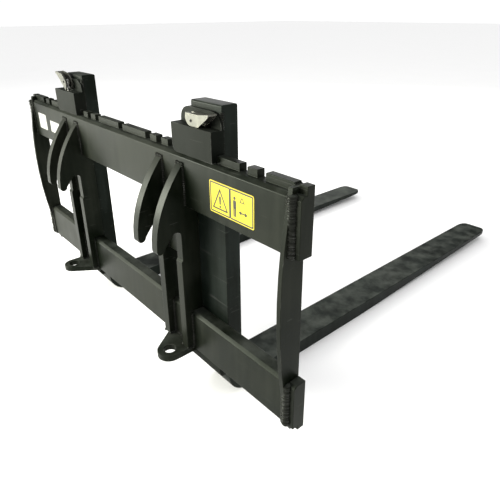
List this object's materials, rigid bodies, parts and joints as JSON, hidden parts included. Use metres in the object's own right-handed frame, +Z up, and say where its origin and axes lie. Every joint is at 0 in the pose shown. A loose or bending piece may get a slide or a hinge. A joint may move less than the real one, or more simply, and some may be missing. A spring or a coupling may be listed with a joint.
{
  "type": "pallet fork attachment",
  "caption": "Loader attachment: two pallet forks hooked on a barred carriage, with spring latches above and quick-hitch hook plates and lock lugs behind.",
  "frame": {"origin": "middle of the footprint, on the plane of the blades' undersides", "axes": "+X to the right seen from the loader's seat, +Y forward along the fork blades, +Z up"},
  "size_m": [1, 1.158, 0.5597],
  "materials": {
    "carriage_paint": "semi-gloss black paint",
    "fork_paint": "satin black paint",
    "bright_steel": "bright turned steel",
    "zinc_plate": "zinc-plated sheet"
  },
  "bodies": {
    "carriage": {"upper_bar": "carriage_paint", "lower_bar": "carriage_paint", "upper_bar_end_left": "carriage_paint", "upper_bar_end_right": "carriage_paint", "lower_bar_end_left": "carriage_paint", "lower_bar_end_right": "carriage_paint", "end_plate_left": "carriage_paint", "end_plate_right": "carriage_paint", "hook_plate_left_left": "carriage_paint", "hook_plate_left_right": "carriage_paint", "throat_saddle_left": "carriage_paint", "lock_lug_left": "carriage_paint", "hook_plate_right_left": "carriage_paint", "hook_plate_right_right": "carriage_paint", "throat_saddle_right": "carriage_paint", "lock_lug_right": "carriage_paint"},
    "fork_left_body": {"fork_left": "fork_paint", "upper_hook_left": "fork_paint", "lower_hook_left": "fork_paint", "pin_spring_left": "bright_steel", "spring_bush_left": "bright_steel"},
    "lock_pin_left_body": {"lock_pin_left": "bright_steel"},
    "latch_head_left_body": {"latch_head_left": "bright_steel", "cross_pin_left": "bright_steel"},
    "latch_lever_left_body": {"latch_lever_left": "zinc_plate"},
    "fork_right_body": {"fork_right": "fork_paint", "upper_hook_right": "fork_paint", "lower_hook_right": "fork_paint", "pin_spring_right": "bright_steel", "spring_bush_right": "bright_steel"},
    "lock_pin_right_body": {"lock_pin_right": "bright_steel"},
    "latch_head_right_body": {"latch_head_right": "bright_steel", "cross_pin_right": "bright_steel"},
    "latch_lever_right_body": {"latch_lever_right": "zinc_plate"}
  },
  "joints": [
    {"name": "fork_left_slide", "type": "slide", "parent": "carriage", "child": "fork_left_body", "axis": [1, 0, 0], "range_m": [-0.173, 0.135]},
    {"name": "lock_pin_left_slide", "type": "slide", "parent": "fork_left_body", "child": "lock_pin_left_body", "axis": [0, 0, 1], "range_m": [-0.01, 0], "deforming": ["pin_spring_left"]},
    {"name": "latch_head_left_slide", "type": "slide", "parent": "fork_left_body", "child": "latch_head_left_body", "axis": [0, 0, 1], "range_m": [-0.01, 0]},
    {"name": "latch_lever_left_hinge", "type": "hinge", "parent": "latch_head_left_body", "child": "latch_lever_left_body", "pos_m": [-0.241, -0.5025, 0.5393], "axis": [0, -1, 0], "range_deg": [-140, 0]},
    {"name": "fork_right_slide", "type": "slide", "parent": "carriage", "child": "fork_right_body", "axis": [1, 0, 0], "range_m": [-0.155, 0.153]},
    {"name": "lock_pin_right_slide", "type": "slide", "parent": "fork_right_body", "child": "lock_pin_right_body", "axis": [0, 0, 1], "range_m": [0, 0.003], "stiffness_N_per_m": 600, "springref_m": -0.005, "deforming": ["pin_spring_right"]},
    {"name": "latch_head_right_slide", "type": "slide", "parent": "fork_right_body", "child": "latch_head_right_body", "axis": [0, 0, 1], "range_m": [0, 0.01]},
    {"name": "latch_lever_right_hinge", "type": "hinge", "parent": "latch_head_right_body", "child": "latch_lever_right_body", "pos_m": [0.261, -0.5025, 0.5293], "axis": [0, -1, 0], "range_deg": [0, 140]}
  ],
  "couplings": [
    {"joint": "latch_head_left_slide", "follows": "latch_lever_left_hinge", "m_per_rad": 0.0040925},
    {"joint": "lock_pin_left_slide", "follows": "latch_lever_left_hinge", "m_per_rad": 0.0040925},
    {"joint": "latch_head_right_slide", "follows": "latch_lever_right_hinge", "m_per_rad": 0.0040925}
  ]
}
